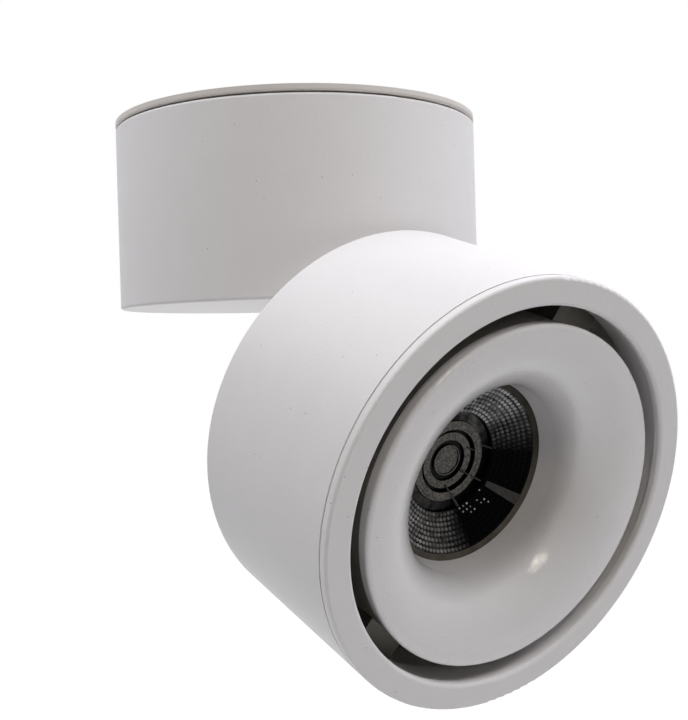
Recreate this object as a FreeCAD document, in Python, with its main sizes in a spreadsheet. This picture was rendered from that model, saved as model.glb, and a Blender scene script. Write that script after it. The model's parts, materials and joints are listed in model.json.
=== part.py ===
import FreeCAD, Part
import math
import os
import re
import Sketcher

# Ceiling spotlight: a round base that turns on a ceiling plate, and a round lamp head of the same
# diameter that folds out of line with the base on one hinge near the rim.
#
# Row frame: origin at the centre of the plate's ceiling face, +Z up, the head points to -Y.
# The pieces are drawn in a "drop frame" turned half a turn about X, so that depths below the ceiling
# and distances towards the hinge are positive: Z is down, and Y is towards the hinge.
# The head's pieces are drawn folded shut, from the head's back face, and placed by the tilt.

# ---------------------------------------------------------------- driving sizes, millimetres, degrees
SIZES = [
    # the two cylinders
    ("body_radius", 50.0, "outer radius of plate, base and head"),
    ("base_depth", 51.0, "ceiling face to the underside of the base"),
    ("head_length", 51.5, "back face to front face of the head"),
    ("closed_gap", 1.0, "air between base and head when folded shut"),
    ("shell_wall", 2.5, "side wall of both housings"),
    ("shell_edge", 0.8, "rounding of the housings' outer edges"),
    ("tilt_angle", 73.35, "fold of the head from straight down, as photographed"),
    # the hinge
    ("pin_inset", 10.0, "hinge pin, in from the base's outer wall"),
    ("pin_up", 9.5, "hinge pin, above the underside of the base"),
    ("pin_radius", 2.5, "hinge pin"),
    ("pin_play", 0.05, "radial play of the arm on its pin"),
    ("eye_radius", 6.3, "round ends of the arm and of the bracket ears"),
    ("eye_half", 8.0, "half width of the hinge arm"),
    ("hinge_washer", 0.5, "friction washer thickness"),
    ("washer_play", 0.05, "air each side of a washer"),
    ("ear_wall", 3.0, "bracket ear thickness"),
    ("hinge_clearance", 0.4, "air round the ears and beside the arm"),
    ("sweep_clearance", 0.3, "air between the head's back and the relieved rim"),
    ("relief_spare", 1.13, "relieved rim, past where the head sweeps"),
    ("neck_half", 5.0, "half thickness of the hinge arm's neck"),
    # ceiling plate and swivel
    ("plate_thick", 1.6, "ceiling plate"),
    ("plate_edge", 0.5, "rounding of the plate's lower edge"),
    ("groove_gap", 0.4, "shadow groove between plate and base"),
    ("slot_spacing", 70.0, "ceiling screw slots, centre to centre"),
    ("slot_length", 14.0, "ceiling screw slot, end to end"),
    ("slot_width", 4.5, "ceiling screw slot"),
    ("tube_radius", 6.0, "hollow swivel tube, outside"),
    ("tube_bore", 4.0, "hollow swivel tube, inside radius"),
    ("tube_length", 16.0, "hollow swivel tube"),
    ("tube_play", 0.05, "radial play of the carrier on the tube"),
    ("collar_radius", 9.0, "collar of the swivel tube"),
    ("collar_thick", 1.0, "collar of the swivel tube"),
    ("glide_radius", 20.0, "glide ring, outside"),
    ("glide_thick", 2.4, "glide ring with its play"),
    ("glide_play", 0.05, "air over the glide ring and the friction washer"),
    ("stop_radius", 26.0, "circle of the two stop pins"),
    ("stop_pin", 1.5, "stop pin radius"),
    ("stop_gap", 0.4, "air at the ends of the stop pins"),
    ("carrier_thick", 2.0, "swivel carrier disc"),
    ("carrier_play", 0.3, "air between carrier and base wall"),
    ("rim_depth", 6.0, "turned-down rim of the carrier"),
    ("rim_thick", 2.0, "turned-down rim of the carrier"),
    ("hook_half", 5.0, "half width of the carrier's hook"),
    ("hook_reach", 1.4, "how far the hook enters the base wall"),
    ("hook_thick", 2.0, "carrier hook"),
    ("friction_washer", 1.0, "swivel friction washer"),
    ("swivel_washer_radius", 14.0, "swivel friction washer"),
    ("swivel_spring", 1.4, "disc spring of the swivel, height"),
    ("spring_sheet", 0.7, "disc spring sheet"),
    ("lock_nut_corner", 11.0, "lock nut, centre to corner"),
    ("lock_nut_thick", 5.0, "lock nut"),
    ("grommet_lip", 1.2, "lip of the cable grommet"),
    ("grommet_neck", 3.0, "neck of the cable grommet"),
    ("cable_radius", 2.8, "cable hole of the grommet"),
    ("side_screw_angle", 30.0, "side screws, back from the X axis"),
    ("side_screw_depth", 9.0, "side screws, below the ceiling"),
    # base
    ("base_floor", 3.0, "underside of the base"),
    # small screws
    ("screw_radius", 1.5, "M3 shank"),
    ("screw_head", 2.7, "M3 head radius"),
    ("screw_head_thick", 1.8, "M3 head"),
    ("screw_socket", 1.15, "hex socket, corner radius"),
    ("screw_socket_deep", 1.1, "hex socket"),
    ("screw_hole_play", 0.15, "air round a screw in its clearance hole"),
    ("grub_inset", 0.6, "side screws, below the base's outer wall"),
    # hinge bracket
    ("bracket_thick", 3.0, "bracket foot"),
    ("bracket_half", 16.0, "half width of the bracket foot"),
    ("bracket_back", 28.0, "inner end of the bracket foot, from the pin"),
    ("bracket_front", 8.0, "outer end of the bracket foot, from the pin"),
    ("bracket_screw_x", 10.0, "bracket screws, off the middle"),
    ("bracket_screw_back", 21.0, "bracket screws, from the pin"),
    ("bracket_screw_length", 5.0, "bracket screws below the head"),
    ("ear_back", 12.0, "inner end of the bracket ears, from the pin"),
    ("pin_head", 4.5, "hinge pin head radius"),
    ("pin_head_thick", 3.0, "hinge pin head"),
    ("hinge_spring", 0.7, "disc spring under the hinge nut"),
    ("hinge_nut_corner", 4.6, "hinge nut, centre to corner"),
    ("hinge_nut_thick", 3.0, "hinge nut"),
    # driver
    ("driver_end_room", 18.5, "base wall to the ends of the driver case"),
    ("driver_gap", 4.0, "air between driver case and hinge bracket"),
    ("driver_side_room", 9.5, "how much narrower the driver case is than the base's inner radius"),
    ("driver_tall", 18.0, "driver case without its lid"),
    ("driver_lid", 2.0, "driver lid"),
    ("driver_wall", 1.5, "driver case wall"),
    ("driver_tab", 8.0, "fixing tab of the driver case"),
    ("driver_tab_thick", 2.5, "fixing tab of the driver case"),
    ("driver_rail", 2.0, "rails that carry the board"),
    ("driver_outlet", 2.5, "wire holes in the driver lid"),
    ("driver_outlet_inset", 7.0, "wire holes, in from the ends of the case"),
    ("driver_spigot", 1.2, "driver lid, inside the case"),
    ("driver_screw_length", 4.5, "driver screws below the head"),
    ("board_thick", 1.6, "driver circuit board"),
    ("board_lift", 3.0, "board above the case floor"),
    ("board_play", 0.3, "air round the board"),
    ("transformer_side", 14.0, "driver transformer"),
    ("transformer_tall", 9.5, "driver transformer"),
    ("capacitor_radius", 5.0, "driver capacitor"),
    ("capacitor_tall", 9.5, "driver capacitor"),
    ("component_inset", 14.0, "transformer and capacitor, in from the case ends"),
    # terminal block and cable clamp under the carrier
    ("terminal_length", 28.0, "terminal block"),
    ("terminal_width", 12.0, "terminal block"),
    ("terminal_tall", 11.0, "terminal block"),
    ("terminal_back", 28.0, "terminal block, behind the centre line"),
    ("terminal_pitch", 8.0, "terminal screws"),
    ("terminal_screw", 1.8, "terminal screw radius"),
    ("terminal_screw_deep", 2.5, "terminal screw"),
    ("terminal_recess", 1.0, "terminal screws, below the block's face"),
    ("terminal_slot", 0.8, "screwdriver slot of a terminal screw"),
    ("clamp_length", 26.0, "cable clamp"),
    ("clamp_width", 7.0, "cable clamp"),
    ("clamp_tall", 6.0, "cable clamp"),
    ("clamp_out", 24.0, "cable clamp, towards the hinge"),
    ("clamp_screw_x", 9.0, "clamp screws, off the middle"),
    ("clamp_arch", 3.4, "cable arch of the clamp"),
    ("clamp_screw_length", 7.8, "clamp screws below the head"),
    # head housing and front ring
    ("head_web", 5.0, "back wall of the head"),
    ("ring_flange", 2.0, "front ring, seen edge"),
    ("seam_gap", 0.45, "seam between head housing and ring"),
    ("ring_face", 6.2, "width of the front ring's face"),
    ("ring_outer_edge", 0.7, "rounding of the ring's outer edge"),
    ("ring_inner_edge", 0.9, "rounding of the ring's inner edge"),
    ("ring_sleeve", 8.0, "sleeve that screws into the housing"),
    ("sleeve_step", 1.0, "sleeve bore, wider than the ring opening"),
    ("sleeve_play", 0.15, "air between sleeve and housing"),
    # hinge arm foot, let into the back of the head
    ("foot_thick", 3.0, "arm foot"),
    ("foot_half", 10.0, "half width of the arm foot"),
    ("foot_back", 19.0, "inner end of the arm foot, from the pin"),
    ("foot_front", 5.0, "outer end of the arm foot, from the pin"),
    ("foot_play", 0.2, "air round the arm foot"),
    ("head_back_edge", 0.4, "rounding of the head's back edge"),
    ("foot_screw_x", 5.0, "arm screws, off the middle"),
    ("foot_screw_back", 13.0, "arm screws, from the pin"),
    ("boss_radius", 3.4, "screw bosses on the back wall"),
    ("boss_tall", 3.0, "screw bosses on the back wall"),
    ("arm_screw_length", 7.4, "arm screws, whole length"),
    # heat sink
    ("sink_disc", 4.0, "heat sink disc"),
    ("barrel_step", 0.5, "heat sink barrel, inside the funnel rim"),
    ("barrel_wall", 2.5, "heat sink barrel"),
    ("fin_thick", 1.5, "heat sink fins"),
    ("fin_pitch", 9.0, "heat sink fins"),
    ("fin_gap", 1.5, "air between the fins and the screw bosses"),
    ("fin_inset", 4.3, "ends of the fins, in from the barrel"),
    ("lug_angle", 60.5, "the two lugs, from X towards the hinge"),
    ("lug_width", 12.0, "heat sink lugs"),
    ("lug_depth", 14.3, "lug faces, behind the front face"),
    ("lug_play", 0.1, "air between lugs and housing wall"),
    ("lug_screw_inset", 4.5, "lug screws, in from the housing wall"),
    ("lug_screw_length", 12.0, "lug screws, whole length"),
    ("lug_thread", 13.0, "end of the lugs' threads, from the head's back face"),
    # light engine
    ("led_side", 19.0, "square LED module"),
    ("pad_thick", 0.5, "thermal pad"),
    ("led_base", 1.2, "LED module plate"),
    ("emitter_radius", 7.25, "round light-giving area"),
    ("emitter_thick", 0.6, "light-giving layer"),
    ("holder_play", 0.3, "air round the LED holder"),
    ("holder_thick", 4.0, "LED holder"),
    ("holder_window", 8.4, "window of the LED holder"),
    ("window_flare", 3.0, "how far the window widens forwards"),
    ("led_play", 0.3, "air round the LED module"),
    ("holder_screw_inset", 5.5, "LED holder screws, in from its edge"),
    ("holder_screw_length", 7.5, "LED holder screws below the head"),
    # lens and its seat
    ("seat_lip", 1.9, "lens seat round the lens flange"),
    ("seat_wall", 3.7, "lens seat"),
    ("lens_depth", 18.5, "lens front, behind the front face"),
    ("lens_lap", 1.7, "how far the lens flange reaches past the throat"),
    ("lens_flange", 2.0, "lens flange"),
    ("lens_shoulder", 2.0, "width of the lens flange"),
    ("lens_back_radius", 9.0, "lens back"),
    ("lens_deep", 8.4, "lens front to back"),
    ("lens_pocket", 5.0, "hollow in the lens back over the LED"),
    ("pocket_mouth", 7.5, "hollow of the lens, at its mouth"),
    ("pocket_end", 5.0, "hollow of the lens, at its end"),
    ("lens_play", 0.1, "air round the lens flange"),
    ("lens_gap", 0.1, "air between the lens and the LED holder"),
    # funnel
    ("funnel_inset", 0.65, "funnel face, behind the ring face"),
    ("funnel_gap", 4.0, "air between the ring and the funnel rim"),
    ("funnel_edge", 1.0, "rounding of the funnel rim"),
    ("funnel_lip", 3.3, "height of the funnel rim"),
    ("funnel_flat", 3.3, "flat face of the funnel, with its rounding"),
    ("bell_round", 13.5, "bell radius"),
    ("bell_draft", 0.7, "how much the bell narrows to its throat"),
    ("funnel_wall", 1.8, "funnel thickness"),
    ("rim_wall", 2.2, "thickness of the funnel's rim"),
    ("rim_draft", 0.2, "how much the rim narrows backwards"),
    ("throat_play", 0.05, "air between funnel and lens"),
]

doc = FreeCAD.newDocument("ceiling_spotlight")
sheet = doc.addObject("Spreadsheet::Sheet", "Sizes")
for row, (alias, value, note) in enumerate(SIZES, start=1):
    sheet.set(f"A{row}", note)
    sheet.set(f"B{row}", str(value))
    sheet.setAlias(f"B{row}", alias)
doc.recompute()
ALIASES = {alias for alias, value, note in SIZES}

# ---------------------------------------------------------------- places worked out from the sizes
BASE_TOP = "(plate_thick + groove_gap)"
BASE_INNER = "(body_radius - shell_wall)"
HEAD_INNER = "(body_radius - shell_wall)"
FLOOR = "(base_depth - base_floor)"
PIN_OUT = "(body_radius - pin_inset)"
BRACKET_NEAR = f"({PIN_OUT} - bracket_back)"
BRACKET_FAR = f"({PIN_OUT} - bracket_front)"
BRACKET_SCREW_Y = f"({PIN_OUT} - bracket_screw_back)"
EAR_NEAR = f"({PIN_OUT} - ear_back)"
FOOT_NEAR = f"({PIN_OUT} - foot_back)"
FOOT_FAR = f"({PIN_OUT} + foot_front)"
FOOT_SCREW_Y = f"({PIN_OUT} - foot_screw_back)"
DRIVER_HALF = f"({BASE_INNER} - driver_end_room)"
DRIVER_WIDTH = f"({BASE_INNER} - driver_side_room)"
DRIVER_NEAR = f"({BRACKET_NEAR} - driver_gap)"
DRIVER_OUTLET_X = f"({DRIVER_HALF} - driver_outlet_inset)"
COMPONENT_X = f"({DRIVER_HALF} - component_inset)"
RING_INNER = "(body_radius - ring_face)"
FUNNEL_RADIUS = f"({RING_INNER} - funnel_gap)"
BARREL_RADIUS = f"({FUNNEL_RADIUS} - barrel_step)"
FIN_REACH = f"({BARREL_RADIUS} - fin_inset)"
LUG_SCREW_CIRCLE = f"({HEAD_INNER} - lug_screw_inset)"
BELL_START = f"({FUNNEL_RADIUS} - funnel_flat)"
FUNNEL_THROAT = f"({BELL_START} - bell_round - bell_draft)"
LENS_RIM = f"({FUNNEL_THROAT} + lens_lap)"
LENS_BODY = f"({LENS_RIM} - lens_shoulder)"
SEAT_RADIUS = f"({LENS_RIM} + lens_play + seat_lip)"
HOLDER_RADIUS = f"({SEAT_RADIUS} - seat_wall - holder_play)"
HOLDER_SCREW_X = f"({HOLDER_RADIUS} - holder_screw_inset)"
SINK_BACK = "(head_length - lens_depth - lens_deep - lens_gap - holder_thick - sink_disc)"
PIN_Z = "(base_depth - pin_up)"
RELIEF_RADIUS = "(pin_up + closed_gap - sweep_clearance)"
SWEEP_REACH = f"({PIN_OUT} + sqrt({RELIEF_RADIUS} * {RELIEF_RADIUS} - pin_up * pin_up))"
RELIEF_HALF = f"(sqrt(body_radius * body_radius - {SWEEP_REACH} * {SWEEP_REACH}) + relief_spare)"
CHAMBER_RADIUS = "(eye_radius + hinge_clearance)"
EAR_INNER = "(eye_half + hinge_washer + 2 * washer_play)"
EAR_OUTER = "(eye_half + hinge_washer + 2 * washer_play + ear_wall)"
SLOT_HALF = "(eye_half + hinge_clearance)"
CARRIER_TOP = "(plate_thick + glide_thick)"
CARRIER_BOTTOM = "(plate_thick + glide_thick + carrier_thick)"
CARRIER_RADIUS = "(body_radius - shell_wall - carrier_play)"
WASHER_TOP = "(plate_thick + glide_thick + carrier_thick + glide_play)"
SPRING_TOP = "(plate_thick + glide_thick + carrier_thick + glide_play + friction_washer)"
NUT_TOP = f"({SPRING_TOP} + swivel_spring)"
DRIVER_TOP = "(base_depth - base_floor - driver_tall)"
DRIVER_FAR = f"({DRIVER_NEAR} - {DRIVER_WIDTH})"
DRIVER_MIDDLE = f"({DRIVER_NEAR} - {DRIVER_WIDTH} / 2)"
TAB_MIDDLE = f"({DRIVER_HALF} + driver_tab / 2)"
BOARD_Z = "(base_depth - base_floor - driver_wall - board_lift - board_thick)"
HEAD_PIN_Z = "(-pin_up - closed_gap)"
RING_BACK = "(head_length - ring_flange)"
HOUSING_FRONT = "(head_length - ring_flange - seam_gap)"
SINK_FACE = f"({SINK_BACK} + sink_disc)"
PAD_FACE = f"({SINK_BACK} + sink_disc + pad_thick)"
HOLDER_FACE = f"({SINK_BACK} + sink_disc + holder_thick)"
LENS_FRONT = "(head_length - lens_depth)"
LENS_SEAT = "(head_length - lens_depth - lens_flange)"
FUNNEL_FACE = "(head_length - funnel_inset)"
FUNNEL_BACK = "(head_length - funnel_inset - funnel_lip)"
BELL_CENTRE = "(head_length - funnel_inset - bell_round)"
FUNNEL_END = "(head_length - lens_depth + throat_play)"
TERMINAL_FACE = f"({CARRIER_BOTTOM} + terminal_tall)"
TERMINAL_SEAT = f"({TERMINAL_FACE} - terminal_recess - terminal_screw_deep)"
TERMINALS = ("-terminal_pitch", "0", "terminal_pitch")
CLAMP_FACE = f"({CARRIER_BOTTOM} + clamp_tall)"
FIN_STEPS = range(-3, 4)
HOOK_DEPTHS = (f"{CARRIER_BOTTOM} + rim_depth - hook_thick", f"{CARRIER_BOTTOM} + rim_depth")

X_AXIS = FreeCAD.Vector(1, 0, 0)
HALF_TURN = FreeCAD.Rotation(X_AXIS, 180)

# ---------------------------------------------------------------- drawing helpers
WORD = re.compile(r"[a-z_]+")


def linked(expression):
    """The expression with every size read from the sheet."""
    return WORD.sub(lambda word: f"Sizes.{word[0]}" if word[0] in ALIASES else word[0], str(expression))


def number(alias):
    return float(sheet.get(alias))


def bind(thing, **properties):
    for name, expression in properties.items():
        thing.setExpression(name, linked(expression))


def at(thing, x="0", y="0", z="0"):
    for axis, expression in (("x", x), ("y", y), ("z", z)):
        thing.setExpression(f"Placement.Base.{axis}", linked(expression))
    return thing


ALONG = {
    "x": FreeCAD.Rotation(FreeCAD.Vector(0, 1, 0), 90),
    "y": FreeCAD.Rotation(FreeCAD.Vector(1, 0, 0), -90),
    "z": FreeCAD.Rotation(),
}


def rod(radius, length, x="0", y="0", z="0", along="z"):
    """A round bar that starts at x, y, z and runs along an axis."""
    bar = doc.addObject("Part::Cylinder", "rod")
    bar.Placement.Rotation = ALONG[along]
    bind(bar, Radius=radius, Height=length)
    return at(bar, x, y, z)


def cone(start_radius, end_radius, length, x="0", y="0", z="0"):
    taper = doc.addObject("Part::Cone", "cone")
    bind(taper, Radius1=start_radius, Radius2=end_radius, Height=length)
    return at(taper, x, y, z)


def block(x, y, z):
    """A box given by its (low, high) pairs."""
    box = doc.addObject("Part::Box", "block")
    sides = [f"({high}) - ({low})" for low, high in (x, y, z)]
    bind(box, Length=sides[0], Width=sides[1], Height=sides[2])
    return at(box, x[0], y[0], z[0])


def hexagon(corner_radius, length, x="0", y="0", z="0", along="z"):
    prism = doc.addObject("Part::Prism", "hexagon")
    prism.Polygon = 6
    prism.Placement.Rotation = ALONG[along]
    bind(prism, Circumradius=corner_radius, Height=length)
    return at(prism, x, y, z)


def fused(*pieces):
    joined = doc.addObject("Part::MultiFuse", "fused")
    joined.Shapes = list(pieces)
    return joined


def common(first, second):
    both = doc.addObject("Part::MultiCommon", "common")
    both.Shapes = [first, second]
    return both


def cut(piece, *tools):
    left = doc.addObject("Part::Cut", "cut")
    left.Base = piece
    left.Tool = tools[0] if len(tools) == 1 else group(*tools)
    return left


def group(*pieces):
    several = doc.addObject("Part::Compound", "group")
    several.Links = list(pieces)
    return several


def turned(piece, angle):
    """The piece turned about the centre line."""
    holder = group(piece)
    holder.Placement.Rotation = FreeCAD.Rotation(FreeCAD.Vector(0, 0, 1), angle)
    return holder


probe = doc.addObject("Part::Box", "probe")


def measure(expression):
    """The value of an expression, as a first place for a sketched corner."""
    probe.setExpression("Placement.Base.x", linked(expression))
    doc.recompute([probe])
    return probe.Placement.Base.x


def arc_between(start, end, radius, side):
    """An arc under half a turn whose centre lies left or right of the way from start to end."""
    chord = end - start
    rise = max(radius ** 2 - (chord.Length / 2) ** 2, 0) ** 0.5
    across = FreeCAD.Vector(-chord.y, chord.x, 0).normalize()
    centre = (start + end) * 0.5 + across * (rise if side == "left" else -rise)
    first, last = (start, end) if side == "left" else (end, start)
    angles = [math.atan2((point - centre).y, (point - centre).x) for point in (first, last)]
    circle = Part.Circle(centre, FreeCAD.Vector(0, 0, 1), radius)
    return Part.ArcOfCircle(circle, angles[0], angles[1])


def tie(sketch, expression, kind, *points):
    """Hold a sketched measure at an expression of the sizes."""
    constraint = sketch.addConstraint(Sketcher.Constraint(kind, *points, measure(expression)))
    sketch.setExpression(f"Constraints[{constraint}]", linked(expression))


def turned_piece(*corners):
    """A body turned about Z from an outline of (radius, depth) corners.

    A corner (radius, depth, bend, side) is reached by an arc of that bend, with its centre on that
    side of the way there.
    """
    body = doc.addObject("PartDesign::Body", "turned_body")
    plane = next(item for item in body.Origin.OriginFeatures if item.Role == "XZ_Plane")
    sketch = body.newObject("Sketcher::SketchObject", "outline")
    sketch.AttachmentSupport = [(plane, "")]
    sketch.MapMode = "FlatFace"
    points = [FreeCAD.Vector(measure(corner[0]), measure(corner[1]), 0) for corner in corners]
    last_point = []
    for index, corner in enumerate(corners):
        start, end = points[index - 1], points[index]
        if len(corner) == 2:
            sketch.addGeometry(Part.LineSegment(start, end), False)
        else:
            sketch.addGeometry(arc_between(start, end, measure(corner[2]), corner[3]), False)
        last_point.append(1 if corner[-1] == "right" else 2)
    for index, corner in enumerate(corners):
        following = (index + 1) % len(corners)
        meeting = (index, last_point[index], following, 3 - last_point[following])
        sketch.addConstraint(Sketcher.Constraint("Coincident", *meeting))
        if corner[0] == "0":
            sketch.addConstraint(Sketcher.Constraint("PointOnObject", index, last_point[index], -2))
        else:
            tie(sketch, corner[0], "DistanceX", -1, 1, index, last_point[index])
        tie(sketch, corner[1], "DistanceY", -1, 1, index, last_point[index])
        if len(corner) > 2:
            tie(sketch, corner[2], "Radius", index)
    turn = body.newObject("PartDesign::Revolution", "turned")
    turn.Profile = sketch
    turn.ReferenceAxis = (sketch, ["V_Axis"])
    turn.Angle = 360.0
    return body


def placed(piece, x="0", y="0", z="0"):
    """The piece moved to x, y, z."""
    return at(group(piece), x, y, z)


def upside_down(piece, x="0", y="0", z="0"):
    """The piece turned half a turn about X and moved to x, y, z."""
    holder = group(piece)
    holder.Placement.Rotation = HALF_TURN
    return at(holder, x, y, z)


def pair(make, x):
    """Two like pieces, at +x and at -x."""
    return group(make(x), make(f"(-{x})"))


def screw(length):
    """A socket screw at the origin: head above zero, shank along +Z."""
    head = rod("screw_head", "screw_head_thick", z="-screw_head_thick")
    socket = hexagon("screw_socket", "screw_socket_deep", z="-screw_head_thick")
    return cut(fused(head, rod("screw_radius", length)), socket)


def flush_screw(length):
    """A countersunk screw at the origin: head flush with zero, shank along +Z."""
    head = cone("screw_head", "screw_radius", "screw_head_thick")
    socket = hexagon("screw_socket", "screw_socket_deep")
    return cut(fused(head, rod("screw_radius", length)), socket)


def flush_hole(length, x="0", y="0"):
    """The clearance hole of a flush screw, from the face at zero."""
    wide = "screw_head + screw_hole_play"
    narrow = "screw_radius + screw_hole_play"
    return group(cone(wide, narrow, "screw_head_thick", x, y), rod(narrow, length, x, y))


# ---------------------------------------------------------------- ceiling side
def mounting_plate():
    disc = turned_piece(
        ("tube_radius", "0"), ("body_radius", "0"), ("body_radius", "plate_thick - plate_edge"),
        ("body_radius - plate_edge", "plate_thick", "plate_edge", "left"),
        ("tube_radius", "plate_thick"),
    )
    slots = pair(plate_slot, "(slot_spacing / 2)")
    return cut(disc, slots, rod("stop_pin", "plate_thick", y="-stop_radius"))


def plate_slot(x):
    reach = "(slot_length / 2 - slot_width / 2)"
    sides = ("-slot_width / 2", "slot_width / 2")
    middle = block((f"{x} - {reach}", f"{x} + {reach}"), sides, ("0", "plate_thick"))
    ends = [rod("slot_width / 2", "plate_thick", f"{x} {sign} {reach}") for sign in "-+"]
    return fused(middle, *ends)


def swivel_tube():
    collar_end = "plate_thick + collar_thick"
    return turned_piece(
        ("tube_bore", "0"), ("tube_radius", "0"), ("tube_radius", "plate_thick"),
        ("collar_radius", "plate_thick"), ("collar_radius", collar_end), ("tube_radius", collar_end),
        ("tube_radius", "tube_length"), ("tube_bore", "tube_length"),
    )


def cable_grommet():
    neck_start = "tube_length - grommet_neck"
    lip_end = "tube_length + grommet_lip"
    return turned_piece(
        ("cable_radius", neck_start), ("tube_bore", neck_start), ("tube_bore", "tube_length"),
        ("tube_radius", "tube_length"), ("tube_radius", lip_end), ("cable_radius", lip_end),
    )


def stop_pin():
    return group(rod("stop_pin", f"{CARRIER_TOP} - stop_gap", y="-stop_radius"))


def glide_ring():
    thick = "glide_thick - glide_play"
    outside = rod("glide_radius", thick, z="plate_thick")
    return cut(outside, rod("collar_radius", thick, z="plate_thick"))


def swivel_friction_washer():
    outside = rod("swivel_washer_radius", "friction_washer", z=WASHER_TOP)
    return cut(outside, rod("tube_radius", "friction_washer", z=WASHER_TOP))


def swivel_disc_spring():
    rim = "(swivel_washer_radius - friction_washer)"
    return turned_piece(
        ("tube_radius", f"{NUT_TOP} - spring_sheet"), (rim, SPRING_TOP),
        (rim, f"{SPRING_TOP} + spring_sheet"), ("tube_radius", NUT_TOP),
    )


def swivel_lock_nut():
    nut = hexagon("lock_nut_corner", "lock_nut_thick", z=NUT_TOP)
    return cut(nut, rod("tube_radius", "lock_nut_thick", z=NUT_TOP))


# ---------------------------------------------------------------- swivel carrier and what hangs on it
def swivel_carrier():
    rim_inner = f"({CARRIER_RADIUS} - rim_thick)"
    rim_end = f"({CARRIER_BOTTOM} + rim_depth)"
    dish = turned_piece(
        ("tube_radius + tube_play", CARRIER_TOP), (CARRIER_RADIUS, CARRIER_TOP),
        (CARRIER_RADIUS, rim_end), (rim_inner, rim_end), (rim_inner, CARRIER_BOTTOM),
        ("tube_radius + tube_play", CARRIER_BOTTOM),
    )
    stop = rod("stop_pin", "glide_thick - stop_gap", y="stop_radius", z="plate_thick + stop_gap")
    hook = block(("-hook_half", "hook_half"), (rim_inner, f"{BASE_INNER} + hook_reach"), HOOK_DEPTHS)
    thread = rod("screw_radius", "2 * rim_thick", f"{rim_inner} - rim_thick / 2",
                 z="side_screw_depth", along="x")
    return cut(fused(dish, stop, hook), at_side_screws(thread), pair(clamp_thread, "clamp_screw_x"))


def clamp_thread(x):
    return rod("screw_radius", "carrier_thick", x, "clamp_out", CARRIER_TOP)


def at_side_screws(piece):
    """A piece drawn on +X, set at the two side screws' places, away from the hinge."""
    angle = number("side_screw_angle")
    return group(turned(piece, -angle), turned(piece, angle - 180))


def side_screws():
    inner = f"({CARRIER_RADIUS} - rim_thick)"
    outer = "(body_radius - grub_inset)"
    shank = rod("screw_radius", f"{outer} - {inner}", inner, z="side_screw_depth", along="x")
    socket = hexagon("screw_socket", "screw_socket_deep", f"{outer} - screw_socket_deep",
                     z="side_screw_depth", along="x")
    return at_side_screws(cut(shank, socket))


def terminal_block():
    near = "(-terminal_back - terminal_width / 2)"
    far = "(-terminal_back + terminal_width / 2)"
    wire_depth = f"{CARRIER_BOTTOM} + terminal_tall / 3"
    length = ("-terminal_length / 2", "terminal_length / 2")
    body = block(length, (near, far), (CARRIER_BOTTOM, TERMINAL_FACE))
    well_depth = "terminal_screw_deep + terminal_recess"
    wells = [rod("terminal_screw", well_depth, x, "-terminal_back", TERMINAL_SEAT) for x in TERMINALS]
    wire_ways = [rod("terminal_screw", "terminal_width", x, near, wire_depth, "y") for x in TERMINALS]
    return cut(body, *wells, *wire_ways)


def terminal_screws():
    return group(*[terminal_screw(x) for x in TERMINALS])


def terminal_screw(x):
    shank = rod("terminal_screw", "terminal_screw_deep", x, "-terminal_back", TERMINAL_SEAT)
    shank_end = f"({TERMINAL_SEAT} + terminal_screw_deep)"
    slot = block(
        (f"{x} - terminal_screw", f"{x} + terminal_screw"),
        ("-terminal_back - terminal_slot / 2", "-terminal_back + terminal_slot / 2"),
        (f"{shank_end} - terminal_slot", shank_end),
    )
    return cut(shank, slot)


def cable_clamp():
    low, high = "clamp_out - clamp_width / 2", "clamp_out + clamp_width / 2"
    bar = block(("-clamp_length / 2", "clamp_length / 2"), (low, high), (CARRIER_BOTTOM, CLAMP_FACE))
    arch = rod("clamp_arch", "clamp_width", "0", low, CARRIER_BOTTOM, "y")
    return cut(bar, arch, pair(clamp_hole, "clamp_screw_x"))


def clamp_hole(x):
    return rod("screw_radius + screw_hole_play", "clamp_tall", x, "clamp_out", CARRIER_BOTTOM)


def clamp_screws():
    return pair(clamp_screw, "clamp_screw_x")


def clamp_screw(x):
    return upside_down(screw("clamp_screw_length"), x, "clamp_out", CLAMP_FACE)


# ---------------------------------------------------------------- base
def base_housing():
    shell = turned_piece(
        (BASE_INNER, BASE_TOP), ("body_radius - shell_edge", BASE_TOP),
        ("body_radius", f"{BASE_TOP} + shell_edge", "shell_edge", "left"),
        ("body_radius", "base_depth - shell_edge"),
        ("body_radius - shell_edge", "base_depth", "shell_edge", "left"),
        ("0", "base_depth"), ("0", FLOOR), (BASE_INNER, FLOOR),
    )
    return cut(fused(shell, hinge_corner()), hinge_relief(), hinge_chamber(), arm_slot(), hook_pocket(),
               at_side_screws(side_hole()), pair(bracket_thread, "bracket_screw_x"), driver_threads())


def hinge_corner():
    """The thick corner behind the relieved rim."""
    corner = block((f"-{RELIEF_HALF}", RELIEF_HALF), (PIN_OUT, "body_radius"), (PIN_Z, "base_depth"))
    return common(corner, rod("body_radius - shell_edge", "base_depth"))


def hinge_relief():
    """Everything outside a round about the pin, where the head's back face sweeps past the rim."""
    width = (f"-{RELIEF_HALF}", RELIEF_HALF)
    corner = block(width, (PIN_OUT, f"{PIN_OUT} + body_radius"), (PIN_Z, f"{PIN_Z} + body_radius"))
    keep = rod(RELIEF_RADIUS, f"2 * {RELIEF_HALF}", f"-{RELIEF_HALF}", PIN_OUT, PIN_Z, "x")
    return cut(corner, keep)


def hinge_chamber():
    ears = f"({EAR_OUTER} + hinge_clearance)"
    bolt = "(hinge_nut_corner + hinge_clearance)"
    reach = f"({EAR_OUTER} + hinge_spring + hinge_nut_thick + 3 * hinge_clearance)"
    return group(
        rod(CHAMBER_RADIUS, f"2 * {ears}", f"-{ears}", PIN_OUT, PIN_Z, "x"),
        rod(bolt, f"2 * {reach}", f"-{reach}", PIN_OUT, PIN_Z, "x"),
    )


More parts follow.
